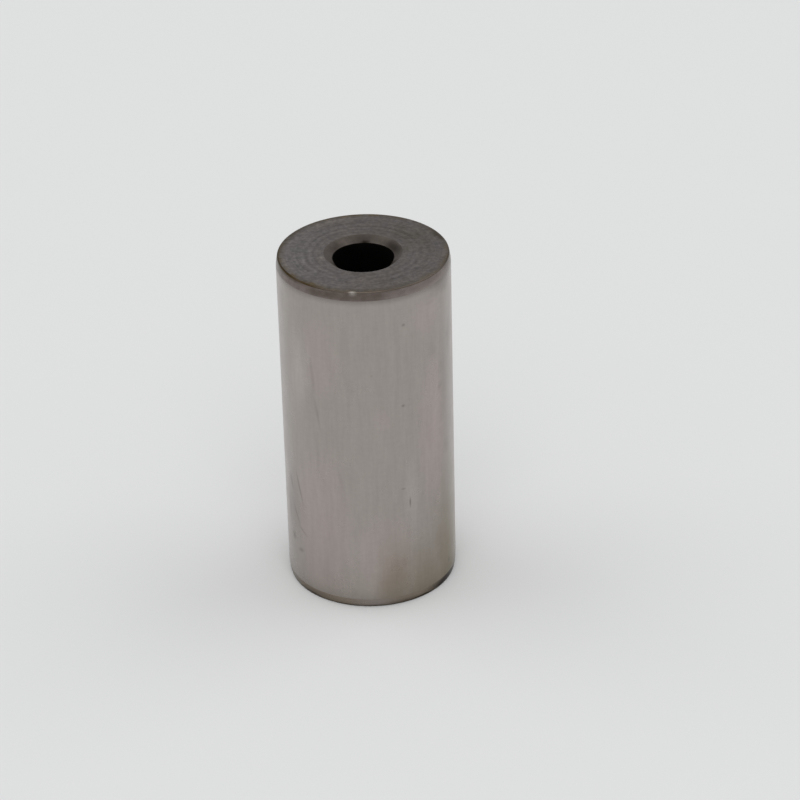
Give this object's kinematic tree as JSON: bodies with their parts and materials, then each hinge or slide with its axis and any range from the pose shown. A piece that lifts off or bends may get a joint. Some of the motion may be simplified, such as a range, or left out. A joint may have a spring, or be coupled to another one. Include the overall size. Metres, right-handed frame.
{
  "type": "crank pin",
  "caption": "Hollow cylindrical crank pin of ground steel with a lead-in taper at each end and a countersunk through bore.",
  "frame": {"origin": "centre of the lower end face, on the pin's axis", "axes": "+Z along the pin's axis, upwards from the end face that it stands on; X and Y are interchangeable"},
  "size_m": [0.022, 0.022, 0.046],
  "materials": {
    "bearing_steel": "hardened bearing steel, ground and lapped on the outside diameter, turned and hardened dark on the end faces"
  },
  "bodies": {
    "root": {"crank_pin": "bearing_steel"}
  },
  "joints": []
}
